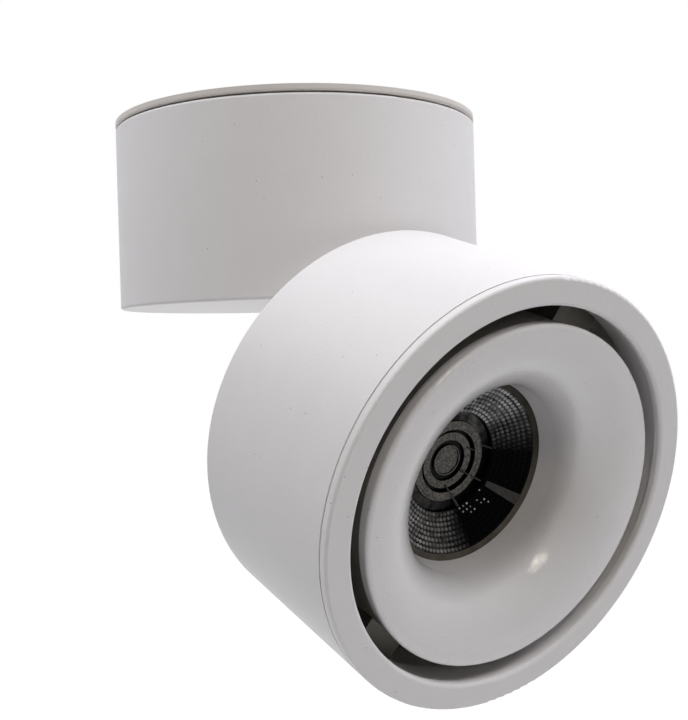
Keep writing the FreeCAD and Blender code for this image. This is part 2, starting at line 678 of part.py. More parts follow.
def arm_slot():
    """The way for the arm's neck, up to where it lies when the head is folded out level."""
    return block(
        (f"-{SLOT_HALF}", SLOT_HALF),
        (f"{PIN_OUT} - {CHAMBER_RADIUS}", f"{PIN_OUT} + body_radius"),
        (f"{PIN_Z} - neck_half - hinge_clearance", f"{PIN_Z} + body_radius"),
    )


def hook_pocket():
    play = "screw_hole_play"
    low, high = HOOK_DEPTHS
    return block((f"-hook_half - {play}", f"hook_half + {play}"),
                 (f"{BASE_INNER} - shell_wall", f"{BASE_INNER} + hook_reach + {play}"),
                 (f"{low} - {play}", f"{high} + {play}"))


def side_hole():
    return rod("screw_radius + screw_hole_play", "2 * shell_wall", f"{BASE_INNER} - shell_wall / 2",
               z="side_screw_depth", along="x")


def bracket_thread(x):
    return rod("screw_radius", "bracket_screw_length - bracket_thick", x, BRACKET_SCREW_Y, FLOOR)


def driver_threads():
    depth = "driver_screw_length - driver_tab_thick"
    return pair(lambda x: rod("screw_radius", depth, x, DRIVER_MIDDLE, FLOOR), TAB_MIDDLE)


# ---------------------------------------------------------------- driver
def driver_case():
    sides = (f"-{DRIVER_HALF}", DRIVER_HALF)
    outside = block(sides, (DRIVER_FAR, DRIVER_NEAR), (DRIVER_TOP, FLOOR))
    inside = block((f"-{DRIVER_HALF} + driver_wall", f"{DRIVER_HALF} - driver_wall"),
                   (f"{DRIVER_FAR} + driver_wall", f"{DRIVER_NEAR} - driver_wall"),
                   (DRIVER_TOP, f"{FLOOR} - driver_wall"))
    rails = [board_rail(f"-{DRIVER_HALF} + driver_wall", f"-{DRIVER_HALF} + driver_wall + driver_rail"),
             board_rail(f"{DRIVER_HALF} - driver_wall - driver_rail", f"{DRIVER_HALF} - driver_wall")]
    tabs = pair(driver_tab, TAB_MIDDLE)
    holes = pair(lambda x: rod("screw_radius + screw_hole_play", "driver_tab_thick", x, DRIVER_MIDDLE,
                               f"{FLOOR} - driver_tab_thick"), TAB_MIDDLE)
    return cut(fused(cut(outside, inside), *rails, tabs), holes)


def board_rail(low, high):
    return block((low, high), (f"{DRIVER_FAR} + driver_wall", f"{DRIVER_NEAR} - driver_wall"),
                 (f"{BOARD_Z} + board_thick", f"{FLOOR} - driver_wall"))


def driver_tab(x):
    return block((f"{x} - driver_tab / 2", f"{x} + driver_tab / 2"),
                 (f"{DRIVER_MIDDLE} - driver_tab / 2", f"{DRIVER_MIDDLE} + driver_tab / 2"),
                 (f"{FLOOR} - driver_tab_thick", FLOOR))


def driver_lid():
    plate = block((f"-{DRIVER_HALF}", DRIVER_HALF), (DRIVER_FAR, DRIVER_NEAR),
                  (f"{DRIVER_TOP} - driver_lid", DRIVER_TOP))
    inset = "(driver_wall + board_play)"
    spigot = block((f"-{DRIVER_HALF} + {inset}", f"{DRIVER_HALF} - {inset}"),
                   (f"{DRIVER_FAR} + {inset}", f"{DRIVER_NEAR} - {inset}"),
                   (DRIVER_TOP, f"{DRIVER_TOP} + driver_spigot"))
    outlets = pair(lambda x: rod("driver_outlet", "driver_lid + driver_spigot", x, DRIVER_MIDDLE,
                                 f"{DRIVER_TOP} - driver_lid"), DRIVER_OUTLET_X)
    return cut(fused(plate, spigot), outlets)


def driver_board():
    inset = "(driver_wall + board_play)"
    return group(block((f"-{DRIVER_HALF} + {inset}", f"{DRIVER_HALF} - {inset}"),
                       (f"{DRIVER_FAR} + {inset}", f"{DRIVER_NEAR} - {inset}"),
                       (BOARD_Z, f"{BOARD_Z} + board_thick")))


def driver_transformer():
    half = "(transformer_side / 2)"
    return group(block((f"-{COMPONENT_X} - {half}", f"-{COMPONENT_X} + {half}"),
                       (f"{DRIVER_MIDDLE} - {half}", f"{DRIVER_MIDDLE} + {half}"),
                       (f"{BOARD_Z} - transformer_tall", BOARD_Z)))


def driver_capacitor():
    return group(rod("capacitor_radius", "capacitor_tall", COMPONENT_X, DRIVER_MIDDLE,
                     f"{BOARD_Z} - capacitor_tall"))


def driver_screws():
    seat = f"{FLOOR} - driver_tab_thick"
    return pair(lambda x: placed(screw("driver_screw_length"), x, DRIVER_MIDDLE, seat), TAB_MIDDLE)


# ---------------------------------------------------------------- hinge
def hinge_bracket():
    foot = block(("-bracket_half", "bracket_half"), (BRACKET_NEAR, BRACKET_FAR),
                 (f"{FLOOR} - bracket_thick", FLOOR))
    ears = [ear(f"-{EAR_OUTER}", f"-{EAR_INNER}"), ear(EAR_INNER, EAR_OUTER)]
    pin_hole = rod("pin_radius", f"2 * {EAR_OUTER}", f"-{EAR_OUTER}", PIN_OUT, PIN_Z, "x")
    return cut(fused(foot, *ears), pin_hole, pair(bracket_hole, "bracket_screw_x"))


def bracket_hole(x):
    radius = "screw_radius + screw_hole_play"
    return rod(radius, "bracket_thick", x, BRACKET_SCREW_Y, f"{FLOOR} - bracket_thick")


def ear(low, high):
    end = rod("eye_radius", "ear_wall", low, PIN_OUT, PIN_Z, "x")
    web = block((low, high), (EAR_NEAR, PIN_OUT), (f"{PIN_Z} - eye_radius", f"{PIN_Z} + eye_radius"))
    return fused(end, web)


def bracket_screws():
    seat = f"{FLOOR} - bracket_thick"
    return pair(lambda x: placed(screw("bracket_screw_length"), x, BRACKET_SCREW_Y, seat), "bracket_screw_x")


def hinge_pin():
    head = rod("pin_head", "pin_head_thick", f"-{EAR_OUTER} - pin_head_thick", PIN_OUT, PIN_Z, "x")
    shank_length = f"2 * {EAR_OUTER} + hinge_spring + hinge_nut_thick + hinge_clearance"
    shank = rod("pin_radius", shank_length, f"-{EAR_OUTER}", PIN_OUT, PIN_Z, "x")
    return fused(head, shank)


def hinge_friction_washer(low):
    outside = rod("eye_radius", "hinge_washer", low, PIN_OUT, PIN_Z, "x")
    return cut(outside, rod("pin_radius", "hinge_washer", low, PIN_OUT, PIN_Z, "x"))


def hinge_disc_spring():
    outside = rod("pin_head", "hinge_spring", EAR_OUTER, PIN_OUT, PIN_Z, "x")
    return cut(outside, rod("pin_radius", "hinge_spring", EAR_OUTER, PIN_OUT, PIN_Z, "x"))


def hinge_nut():
    start = f"{EAR_OUTER} + hinge_spring"
    nut = hexagon("hinge_nut_corner", "hinge_nut_thick", start, PIN_OUT, PIN_Z, "x")
    return cut(nut, rod("pin_radius", "hinge_nut_thick", start, PIN_OUT, PIN_Z, "x"))


def hinge_arm():
    eye = rod("eye_radius", "2 * eye_half", "-eye_half", PIN_OUT, HEAD_PIN_Z, "x")
    neck = block(("-eye_half", "eye_half"), (f"{PIN_OUT} - neck_half", f"{PIN_OUT} + neck_half"),
                 (HEAD_PIN_Z, "foot_thick"))
    foot = block(("-foot_half", "foot_half"), (FOOT_NEAR, FOOT_FAR), ("0", "foot_thick"))
    pin_hole = rod("pin_radius + pin_play", "2 * eye_half", "-eye_half", PIN_OUT, HEAD_PIN_Z, "x")
    screw_holes = pair(lambda x: flush_hole("foot_thick", x, FOOT_SCREW_Y), "foot_screw_x")
    return cut(fused(eye, neck, foot), pin_hole, screw_holes)


def arm_screws():
    return pair(lambda x: placed(flush_screw("arm_screw_length"), x, FOOT_SCREW_Y), "foot_screw_x")


# ---------------------------------------------------------------- head
def head_housing():
    shell = turned_piece(
        ("0", "0"), ("body_radius - head_back_edge", "0"),
        ("body_radius", "head_back_edge", "head_back_edge", "left"),
        ("body_radius", HOUSING_FRONT), (HEAD_INNER, HOUSING_FRONT), (HEAD_INNER, "head_web"),
        ("0", "head_web"),
    )
    bosses = pair(lambda x: rod("boss_radius", "boss_tall", x, FOOT_SCREW_Y, "head_web"), "foot_screw_x")
    threads = pair(lambda x: rod("screw_radius", "head_web + boss_tall", x, FOOT_SCREW_Y), "foot_screw_x")
    pocket = block(("-foot_half - foot_play", "foot_half + foot_play"),
                   (f"{FOOT_NEAR} - foot_play", f"{FOOT_FAR} + foot_play"), ("0", "foot_thick"))
    return cut(fused(shell, bosses), pocket, threads, at_lugs(flush_hole("head_web", LUG_SCREW_CIRCLE)))


def at_lugs(piece):
    """A piece drawn on +X, set at the two lugs."""
    angle = number("lug_angle")
    return group(turned(piece, angle), turned(piece, angle + 180))


def front_ring():
    sleeve_inner = f"{RING_INNER} + sleeve_step"
    sleeve_outer = f"{HEAD_INNER} - sleeve_play"
    return turned_piece(
        (sleeve_inner, f"{RING_BACK} - ring_sleeve"), (sleeve_outer, f"{RING_BACK} - ring_sleeve"),
        (sleeve_outer, RING_BACK), ("body_radius", RING_BACK),
        ("body_radius", "head_length - ring_outer_edge"),
        ("body_radius - ring_outer_edge", "head_length", "ring_outer_edge", "left"),
        (f"{RING_INNER} + ring_inner_edge", "head_length"),
        (RING_INNER, "head_length - ring_inner_edge", "ring_inner_edge", "left"),
        (RING_INNER, RING_BACK), (sleeve_inner, RING_BACK),
    )


def heat_sink():
    disc = rod(BARREL_RADIUS, "sink_disc", z=SINK_BACK)
    barrel = cut(rod(BARREL_RADIUS, f"{FUNNEL_BACK} - {SINK_FACE}", z=SINK_FACE),
                 rod(f"{BARREL_RADIUS} - barrel_wall", f"{FUNNEL_BACK} - {SINK_FACE}", z=SINK_FACE))
    lug = block((f"{BARREL_RADIUS} - barrel_wall", HEAD_INNER), ("-lug_width / 2", "lug_width / 2"),
                ("head_web", "head_length - lug_depth"))
    lug = common(lug, rod(f"{HEAD_INNER} - lug_play", "head_length"))
    lug_threads = rod("screw_radius", "lug_thread", LUG_SCREW_CIRCLE)
    holder_threads = pair(lambda x: rod("screw_radius", "sink_disc", x, z=SINK_BACK), HOLDER_SCREW_X)
    return cut(fused(disc, barrel, fins(), at_lugs(lug)), at_lugs(lug_threads), holder_threads)


def fins():
    bars = [block((f"-{FIN_REACH}", FIN_REACH),
                  (f"{step} * fin_pitch - fin_thick / 2", f"{step} * fin_pitch + fin_thick / 2"),
                  ("head_web + boss_tall + fin_gap", SINK_BACK)) for step in FIN_STEPS]
    return common(group(*bars), rod(FIN_REACH, SINK_BACK))


def lug_screws():
    return at_lugs(placed(flush_screw("lug_screw_length"), LUG_SCREW_CIRCLE))


# ---------------------------------------------------------------- light engine
def thermal_pad():
    side = ("-led_side / 2", "led_side / 2")
    return group(block(side, side, (SINK_FACE, PAD_FACE)))


def led_module():
    side = ("-led_side / 2", "led_side / 2")
    plate = block(side, side, (PAD_FACE, f"{PAD_FACE} + led_base"))
    return fused(plate, rod("emitter_radius", "emitter_thick", z=f"{PAD_FACE} + led_base"))


def led_holder():
    side = ("-led_side / 2 - led_play", "led_side / 2 + led_play")
    led_front = f"({PAD_FACE} + led_base)"
    body = rod(HOLDER_RADIUS, "holder_thick", z=SINK_FACE)
    window_depth = f"{HOLDER_FACE} - {led_front}"
    window = cone("holder_window", "holder_window + window_flare", window_depth, z=led_front)
    screw_holes = pair(lambda x: rod("screw_radius + screw_hole_play", "holder_thick", x, z=SINK_FACE),
                       HOLDER_SCREW_X)
    return cut(body, block(side, side, (SINK_FACE, led_front)), window, screw_holes)


def holder_screws():
    return pair(lambda x: upside_down(screw("holder_screw_length"), x, z=HOLDER_FACE), HOLDER_SCREW_X)


def lens_seat():
    inner = f"{SEAT_RADIUS} - seat_wall"
    pocket = f"{LENS_RIM} + lens_play"
    return turned_piece(
        (inner, SINK_FACE), (SEAT_RADIUS, SINK_FACE), (SEAT_RADIUS, LENS_FRONT),
        (pocket, LENS_FRONT), (pocket, LENS_SEAT), (inner, LENS_SEAT),
    )


def lens():
    back = f"({LENS_FRONT} - lens_deep)"
    return turned_piece(
        ("0", f"{back} + lens_pocket"), ("pocket_end", f"{back} + lens_pocket"), ("pocket_mouth", back),
        ("lens_back_radius", back), (LENS_BODY, LENS_SEAT), (LENS_RIM, LENS_SEAT),
        (LENS_RIM, LENS_FRONT), ("0", LENS_FRONT),
    )


def funnel():
    bell_end = f"{BELL_START} - bell_round"
    return turned_piece(
        (FUNNEL_THROAT, FUNNEL_END), (f"{FUNNEL_THROAT} + funnel_wall", FUNNEL_END),
        (f"{bell_end} + funnel_wall", BELL_CENTRE),
        (BELL_START, f"{FUNNEL_FACE} - funnel_wall", "bell_round - funnel_wall", "right"),
        (f"{FUNNEL_RADIUS} - rim_wall", f"{FUNNEL_FACE} - funnel_wall"),
        (f"{FUNNEL_RADIUS} - rim_wall", FUNNEL_BACK), (f"{FUNNEL_RADIUS} - rim_draft", FUNNEL_BACK),
        (FUNNEL_RADIUS, f"{FUNNEL_FACE} - funnel_edge"),
        (f"{FUNNEL_RADIUS} - funnel_edge", FUNNEL_FACE, "funnel_edge", "left"),
        (BELL_START, FUNNEL_FACE), (bell_end, BELL_CENTRE, "bell_round", "left"),
    )


# ---------------------------------------------------------------- the whole lamp
BASE_PIECES = {
    "mounting_plate": mounting_plate, "swivel_tube": swivel_tube, "cable_grommet": cable_grommet,
    "stop_pin": stop_pin, "glide_ring": glide_ring, "swivel_friction_washer": swivel_friction_washer,
    "swivel_disc_spring": swivel_disc_spring, "swivel_lock_nut": swivel_lock_nut,
    "swivel_carrier": swivel_carrier, "side_screws": side_screws, "terminal_block": terminal_block,
    "terminal_screws": terminal_screws, "cable_clamp": cable_clamp, "clamp_screws": clamp_screws,
    "base_housing": base_housing, "driver_case": driver_case, "driver_lid": driver_lid,
    "driver_board": driver_board, "driver_transformer": driver_transformer,
    "driver_capacitor": driver_capacitor, "driver_screws": driver_screws,
    "hinge_bracket": hinge_bracket, "bracket_screws": bracket_screws, "hinge_pin": hinge_pin,
    "hinge_washer_left": lambda: hinge_friction_washer("-eye_half - washer_play - hinge_washer"),
    "hinge_washer_right": lambda: hinge_friction_washer("eye_half + washer_play"),
    "hinge_disc_spring": hinge_disc_spring, "hinge_nut": hinge_nut,
}
HEAD_PIECES = {
    "hinge_arm": hinge_arm, "arm_screws": arm_screws, "head_housing": head_housing,
    "front_ring": front_ring, "heat_sink": heat_sink, "lug_screws": lug_screws,
    "thermal_pad": thermal_pad, "led_module": led_module, "led_holder": led_holder,
    "holder_screws": holder_screws, "lens_seat": lens_seat, "lens": lens, "funnel": funnel,
}


def head_place():
    """Where the head's own frame sits once it is folded out about the pin."""
    pin = FreeCAD.Vector(0, measure(PIN_OUT), number("base_depth") - number("pin_up"))
    fold = FreeCAD.Placement(FreeCAD.Vector(), FreeCAD.Rotation(X_AXIS, -number("tilt_angle")), pin)
    back_face = FreeCAD.Vector(0, 0, number("base_depth") + number("closed_gap"))
    return BASE_PLACE * fold * FreeCAD.Placement(back_face, FreeCAD.Rotation())


def make_node(name, make, place):
    piece = make()
    direct = piece.TypeId in ("PartDesign::Body", "Part::Cut", "Part::MultiFuse")
    node = piece if direct else group(piece)
    node.Label = name
    node.Placement = place
    return node


BASE_PLACE = FreeCAD.Placement(FreeCAD.Vector(), HALF_TURN)
nodes = [make_node(name, make, BASE_PLACE) for name, make in BASE_PIECES.items()]
nodes += [make_node(name, make, head_place()) for name, make in HEAD_PIECES.items()]
doc.recompute()

for thing in doc.Objects:
    if "Invalid" in thing.State or "Error" in thing.State:
        raise RuntimeError(f"{thing.Label} did not build: {thing.State}")
os.makedirs("parts", exist_ok=True)
for node in nodes:
    if node.Shape.isNull() or not node.Shape.isValid() or not node.Shape.Solids:
        raise RuntimeError(f"{node.Label} is not a sound solid")
    node.Shape.exportStep(f"parts/{node.Label}.step")
    print(node.Label, len(node.Shape.Solids), round(node.Shape.Volume, 1))
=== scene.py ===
# %% [markdown]
# # A ceiling spotlight with a folding head
# The lamp is two powder-coated cylinders: a base under the ceiling, and a head that hangs on a
# hinge near the base's rim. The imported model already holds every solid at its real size, so this
# lesson dresses it: it gives each solid its finish and models the lens, whose small optics the
# plain solid leaves out.

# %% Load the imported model
import json
import math
import random

import bpy
from mathutils import Matrix, Vector


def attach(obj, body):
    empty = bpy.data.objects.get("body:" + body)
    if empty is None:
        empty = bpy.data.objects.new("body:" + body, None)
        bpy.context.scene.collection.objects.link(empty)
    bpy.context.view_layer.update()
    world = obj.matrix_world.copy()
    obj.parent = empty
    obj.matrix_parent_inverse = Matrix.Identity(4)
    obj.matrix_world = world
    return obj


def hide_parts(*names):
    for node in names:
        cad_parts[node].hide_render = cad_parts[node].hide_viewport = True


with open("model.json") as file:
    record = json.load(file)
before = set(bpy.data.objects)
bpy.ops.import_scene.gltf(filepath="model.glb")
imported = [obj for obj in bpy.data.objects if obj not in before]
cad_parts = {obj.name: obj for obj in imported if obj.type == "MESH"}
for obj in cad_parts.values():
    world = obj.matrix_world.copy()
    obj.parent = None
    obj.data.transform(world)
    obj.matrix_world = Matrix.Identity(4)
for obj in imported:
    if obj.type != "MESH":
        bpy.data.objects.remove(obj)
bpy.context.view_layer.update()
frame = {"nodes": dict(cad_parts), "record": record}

# %% [markdown]
# ## Where the head is
# The head is drawn along its own Z axis, from its back face at 0 to its front face. Folded shut
# it hangs in line with the base. This matrix folds it out about the hinge pin and then hangs the
# whole lamp below the ceiling, in the same steps as the solids were placed.

# %% Head place
MM = 0.001
HEAD_LENGTH = 51.5
BASE_DEPTH = 51.0
CLOSED_GAP = 1.0
PIN_OUT = 40.0
PIN_UP = 9.5
FOLD = 73.35
pin = Matrix.Translation(Vector((0, PIN_OUT, BASE_DEPTH - PIN_UP)) * MM)
fold = pin @ Matrix.Rotation(math.radians(-FOLD), 4, "X") @ pin.inverted()
shut = Matrix.Translation(Vector((0, 0, BASE_DEPTH + CLOSED_GAP)) * MM)
HEAD = Matrix.Rotation(math.pi, 4, "X") @ fold @ shut
front_centre = HEAD @ Vector((0, 0, HEAD_LENGTH * MM))
print("front centre of the head, mm:", [round(v / MM, 1) for v in front_centre])

# %% [markdown]
# ## Small helpers for materials
# Paint charts and screens give colours as sRGB hex, while the renderer counts in linear light, so
# one function turns the one into the other. Another adds a node with its settings and links. The
# sockets of a colour mix share their names, so they go by number.

# %% Colour and node helpers
MIX_A, MIX_B, MIX_RESULT = 6, 7, 2


def linear(hex_colour):
    """An sRGB hex colour as linear red, green, blue and alpha."""
    parts = [int(hex_colour[i:i + 2], 16) / 255 for i in (1, 3, 5)]
    return [c / 12.92 if c <= 0.04045 else ((c + 0.055) / 1.055) ** 2.4 for c in parts] + [1.0]


def add_node(owner, kind, links=(), **settings):
    """Adds a node to a material or world.

    Each link is (input, node, output), and a setting is an attribute or an input.
    """
    node = owner.node_tree.nodes.new(kind)
    for name, value in settings.items():
        if hasattr(node, name):
            setattr(node, name, value)
        else:
            node.inputs[name.replace("_", " ")].default_value = value
    for name, source, output in links:
        owner.node_tree.links.new(source.outputs[output], node.inputs[name])
    return node


# %% [markdown]
# ## A surface with a grain
# Nearly every finish here is one idea: a base shader, a slight drift of colour over some
# millimetres, and a fine bump whose size is the real grain's. Object coordinates are metres, so a
# noise of grain size g mm has the scale 1000 / g. Specks are the middles of a few large cells.

# %% Grained finish
PER_METRE = 1000
GLOSS_SPREAD = 0.06
SPECK_CELL_MM = 5.0
SPECK_SHARE = 0.025


def grained(name, low, high, grain_mm, bump_mm, roughness, metallic=0.0, drift_mm=9.0,
            stretch=(1, 1, 1), speck=None, specular=0.5, contrast=1.0):
    """A material whose colour drifts between low and high, with a bumped grain."""
    material = bpy.data.materials.new(name)
    material.use_nodes = True
    links = material.node_tree.links
    shader = material.node_tree.nodes["Principled BSDF"]
    shader.inputs["Metallic"].default_value = metallic
    shader.inputs["Specular IOR Level"].default_value = specular
    place = add_node(material, "ShaderNodeTexCoord")

    drift = add_node(material, "ShaderNodeTexNoise", [("Vector", place, "Object")],
                     Scale=PER_METRE / drift_mm, Detail=3.0)
    spread = add_node(material, "ShaderNodeMapRange", [("Value", drift, "Fac")],
                      From_Min=0.5 - 0.5 / contrast, From_Max=0.5 + 0.5 / contrast)
    tint = add_node(material, "ShaderNodeMix", [("Factor", spread, "Result")], data_type="RGBA")
    tint.inputs[MIX_A].default_value = linear(low)
    tint.inputs[MIX_B].default_value = linear(high)
    colour = tint.outputs[MIX_RESULT]
    if speck:
        cells = add_node(material, "ShaderNodeTexVoronoi", [("Vector", place, "Object")],
                         Scale=PER_METRE / SPECK_CELL_MM)
        dot = add_node(material, "ShaderNodeMath", [("Value", cells, "Distance")],
                       operation="LESS_THAN")
        dot.inputs[1].default_value = SPECK_SHARE
        dotted = add_node(material, "ShaderNodeMix", [("Factor", dot, "Value")], data_type="RGBA")
        links.new(colour, dotted.inputs[MIX_A])
        dotted.inputs[MIX_B].default_value = linear(speck)
        colour = dotted.outputs[MIX_RESULT]
    links.new(colour, shader.inputs["Base Color"])

    mapping = add_node(material, "ShaderNodeMapping", [("Vector", place, "Object")],
                       Scale=stretch)
    grain = add_node(material, "ShaderNodeTexNoise", [("Vector", mapping, "Vector")],
                     Scale=PER_METRE / grain_mm, Detail=2.0)
    gloss = add_node(material, "ShaderNodeMapRange", [("Value", grain, "Fac")],
                     To_Min=roughness - GLOSS_SPREAD, To_Max=roughness + GLOSS_SPREAD)
    bump = add_node(material, "ShaderNodeBump", [("Height", grain, "Fac")],
                    Distance=bump_mm * MM, Strength=1.0)
    links.new(gloss.outputs["Result"], shader.inputs["Roughness"])
    links.new(bump.outputs["Normal"], shader.inputs["Normal"])
    return material


# %% [markdown]
# ## The finishes
# The housings, the ring and the funnel are die-cast aluminium in white polyester powder coat.
# Baked powder keeps a fine sandy grit, here 0.45 mm, which breaks up a highlight instead of
# mirroring it, and a few tiny inclusions show as specks. The funnel's coat is glossier, so a
# small lamp leaves a gleam on it. The rest is hidden until the lamp is seen from behind or
# folded: plated and spring steel, bare die-cast aluminium, nylon, polyamide.

# %% Finishes by material slot
POWDER_SPECK = "#8E8A84"
ALONG_Z = (1, 1, 6)
FINISHES = {
    "powder_white": grained("powder_coat_white", "#E8E6E5", "#EDEBEA", 0.45, 0.05, 0.52,
                            speck=POWDER_SPECK),
    "plate_white": grained("powder_coat_steel_white", "#DCD7D1", "#E1DCD6", 0.45, 0.03, 0.52),
    "cast_white": grained("painted_zinc_white", "#E4E2E0", "#E9E7E5", 0.6, 0.015, 0.5),
    "zinc_steel": grained("zinc_plated_steel", "#B4B6BA", "#C6C8CB", 0.3, 0.004, 0.34, 1.0, 4.0,
                          ALONG_Z),
    "hinge_steel": grained("nickel_plated_steel", "#B0AEA8", "#C2BFB8", 0.3, 0.003, 0.28, 1.0,
                           4.0),
    "spring_steel": grained("tempered_spring_steel", "#75777C", "#8A8C90", 0.4, 0.004, 0.36, 1.0,
                            5.0),
    "screw_steel": grained("bright_screw_steel", "#B2B3B6", "#C4C5C8", 0.3, 0.003, 0.32, 1.0,
                           3.0),
    "brass_screw": grained("turned_brass", "#B58E3F", "#CBA557", 0.25, 0.003, 0.3, 1.0, 3.0),
    "terminal_white": grained("moulded_polyamide_white", "#DFDED9", "#E6E5E1", 0.5, 0.008, 0.5),
    "nylon": grained("natural_nylon", "#DDD8C8", "#E6E1D2", 0.5, 0.006, 0.46),
    "grommet_rubber": grained("moulded_rubber_black", "#141414", "#1C1C1B", 0.4, 0.01, 0.72),
    "driver_plastic": grained("driver_polycarbonate", "#E2E1DE", "#E9E8E5", 0.5, 0.01, 0.48),
    "circuit_board": grained("solder_mask_green", "#1E5A32", "#2A6C3E", 0.8, 0.01, 0.35),
    "transformer_core": grained("ferrite_black", "#1D1D1F", "#2A2A2C", 0.6, 0.01, 0.6),
    "capacitor_can": grained("sleeved_capacitor", "#3C4149", "#4A5058", 0.5, 0.006, 0.35),
    "sink_aluminium": grained("die_cast_aluminium", "#77736B", "#8A867E", 0.5, 0.02, 0.55, 0.6,
                              6.0),
    "thermal_pad": grained("silicone_pad_blue_grey", "#8A95A6", "#97A2B2", 0.4, 0.01, 0.8),
    "led_board": grained("metal_core_board", "#C9C6BE", "#D8D5CC", 0.5, 0.004, 0.45),
    "holder_plastic": grained("moulded_pbt_black", "#121213", "#1B1B1C", 0.5, 0.01, 0.5),
    "seat_black": grained("moulded_pc_black", "#0F0F10", "#171718", 0.5, 0.01, 0.45),
    "lens_clear": grained("polished_pc_over_black", "#020305", "#06070B", 0.5, 0.001, 0.14,
                          specular=0.04),
}
FUNNEL_FINISH = grained("powder_coat_satin_white", "#DAD8D7", "#E0DEDD", 0.6, 0.085, 0.14,
                        speck=POWDER_SPECK, specular=0.9)
slot_of = {row["node"]: row["material_slot"] for row in frame["record"]["subparts"]}
for node, solid in frame["nodes"].items():
    for place in solid.material_slots:
        place.material = FUNNEL_FINISH if node == "funnel" else FINISHES[slot_of[node]]
print("finishes:", len(FINISHES) + 1)

# %% [markdown]
# ## Turned pieces
# A lathe shape is easiest as an outline that is spun. One vertex is extruded from corner to
# corner in the XZ plane, spun a full turn about Z, closed where the first and last steps meet,
# and given outward normals. Depths are counted from the head's front face, as they were measured.

# %% Outline and spin helpers
MERGE = 0.001 * MM
SEAM_MERGE = 0.002 * MM
CREASE = 35


def deselect():
    """Leaves edit mode and selects nothing."""
    if bpy.context.object and bpy.context.object.mode != "OBJECT":
        bpy.ops.object.mode_set(mode="OBJECT")
    bpy.ops.object.select_all(action="DESELECT")


def settle(piece, material):
    deselect()
    piece.matrix_world = HEAD @ piece.matrix_world
    piece.select_set(True)
    bpy.context.view_layer.objects.active = piece
    bpy.ops.object.transform_apply(location=True, rotation=True, scale=True)
    piece.data.materials.clear()
    piece.data.materials.append(material)
    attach(piece, "head")
    print(piece.name, "faces:", len(piece.data.polygons))
    return piece


def spun(name, corners, steps=192):
    """A closed lathe piece from (radius, depth behind the front face) corners, in millimetres."""
    points = [Vector((radius, 0, HEAD_LENGTH - depth)) * MM for radius, depth in corners]
    deselect()
    bpy.ops.mesh.primitive_plane_add(size=MM, location=(0, 0, 0))
    piece = bpy.context.object
    piece.name = name
    bpy.ops.object.mode_set(mode="EDIT")
    bpy.ops.mesh.select_all(action="SELECT")
    bpy.ops.mesh.merge(type="CENTER")
    bpy.ops.transform.translate(value=points[0])
    for before, after in zip(points, points[1:] + points[:1]):
        bpy.ops.mesh.extrude_region_move(TRANSFORM_OT_translate={"value": after - before})
    bpy.ops.mesh.select_all(action="SELECT")
    bpy.ops.mesh.remove_doubles(threshold=MERGE)
    bpy.ops.mesh.select_all(action="SELECT")
    bpy.ops.mesh.spin(steps=steps, angle=2 * math.pi, center=(0, 0, 0), axis=(0, 0, 1))
    bpy.ops.mesh.select_all(action="SELECT")
    bpy.ops.mesh.remove_doubles(threshold=SEAM_MERGE)
    bpy.ops.mesh.normals_make_consistent(inside=False)
    bpy.ops.object.mode_set(mode="OBJECT")
    bpy.ops.object.shade_smooth_by_angle(angle=math.radians(CREASE))
    return piece


# %% [markdown]
# ## The lens's finishes
# The optic is clear polycarbonate over a black seat, so it looks black where it is polished.
# The wall and its beads are black at the right. Their grey above and at the lower left is a
# painted reflection of the light the wall throws back, and the rim's lighter and darker parts are
# painted light and shade. One material does both: a radial gradient gives the angle round the
# head's axis, and a ramp turns that to more or less of the painted grey. The Mapping node brings
# the object coordinates into the head's own frame first.

# %% Lens finishes
STEP_FINISH = grained("etched_pc_steps", "#3B3A36", "#86827B", 0.45, 0.04, 0.45, specular=0.2,
                      drift_mm=0.6, contrast=2.5)
RIB_FINISH = grained("clear_pc_ribs", "#201F1E", "#3D3B37", 0.45, 0.02, 0.4, specular=0.2,
                     drift_mm=1.5, contrast=2.0)
POLISHED = "#030406"
# Each stop is degrees round the axis from the head's right, and the share of painted light there:
# painted reflection on the wall and beads, painted light and shade on the rim.
PAINTED_LIGHT_STOPS = ((-180, 0.7), (-160, 0.7), (-120, 0.65), (-92, 0.35), (-72, 0.0), (8, 0.0), (34, 0.3),
         (50, 0.95), (75, 1.0), (100, 0.6), (130, 0.5), (179, 0.7))
RIM_PAINTED_LIGHT_STOPS = ((-180, 0.8), (-110, 0.85), (-35, 1.0), (-5, 0.8), (15, 0.5), (45, 0.35), (80, 0.5),
             (179, 0.8))


def painted_light_optic(name, low, high, drift_mm, painted_light=PAINTED_LIGHT_STOPS):
    """Clear plastic over black, with painted light between low and high that varies round the
    head's axis.
    """
    material = grained(name, low, high, 0.35, 0.004, 0.28, specular=0.02, drift_mm=drift_mm,
                       contrast=3.0)
    tree = material.node_tree
    shader = tree.nodes["Principled BSDF"]
    to_head = HEAD.inverted()
    place = add_node(material, "ShaderNodeTexCoord")
    local = add_node(material, "ShaderNodeMapping", [("Vector", place, "Object")],
                     Location=to_head.to_translation(), Rotation=to_head.to_euler())
    angle = add_node(material, "ShaderNodeTexGradient", [("Vector", local, "Vector")],
                     gradient_type="RADIAL")
    share = add_node(material, "ShaderNodeValToRGB", [("Fac", angle, "Fac")])
    stops = share.color_ramp.elements
    stops.remove(stops[0])
    for index, (degrees, amount) in enumerate(painted_light):
        turn = (degrees + 180) / 360
        stop = stops[0] if index == 0 else stops.new(turn)
        stop.position = turn
        stop.color = (amount, amount, amount, 1)
    # The ramp mixes the black of polished plastic with the grey of painted light.
    mixed = add_node(material, "ShaderNodeMix", [("Factor", share, "Color")], data_type="RGBA")
    mixed.inputs[MIX_A].default_value = linear(POLISHED)
    painted_grey = shader.inputs["Base Color"].links[0].from_socket
    tree.links.new(painted_grey, mixed.inputs[MIX_B])
    tree.links.new(mixed.outputs[MIX_RESULT], shader.inputs["Base Color"])
    return material
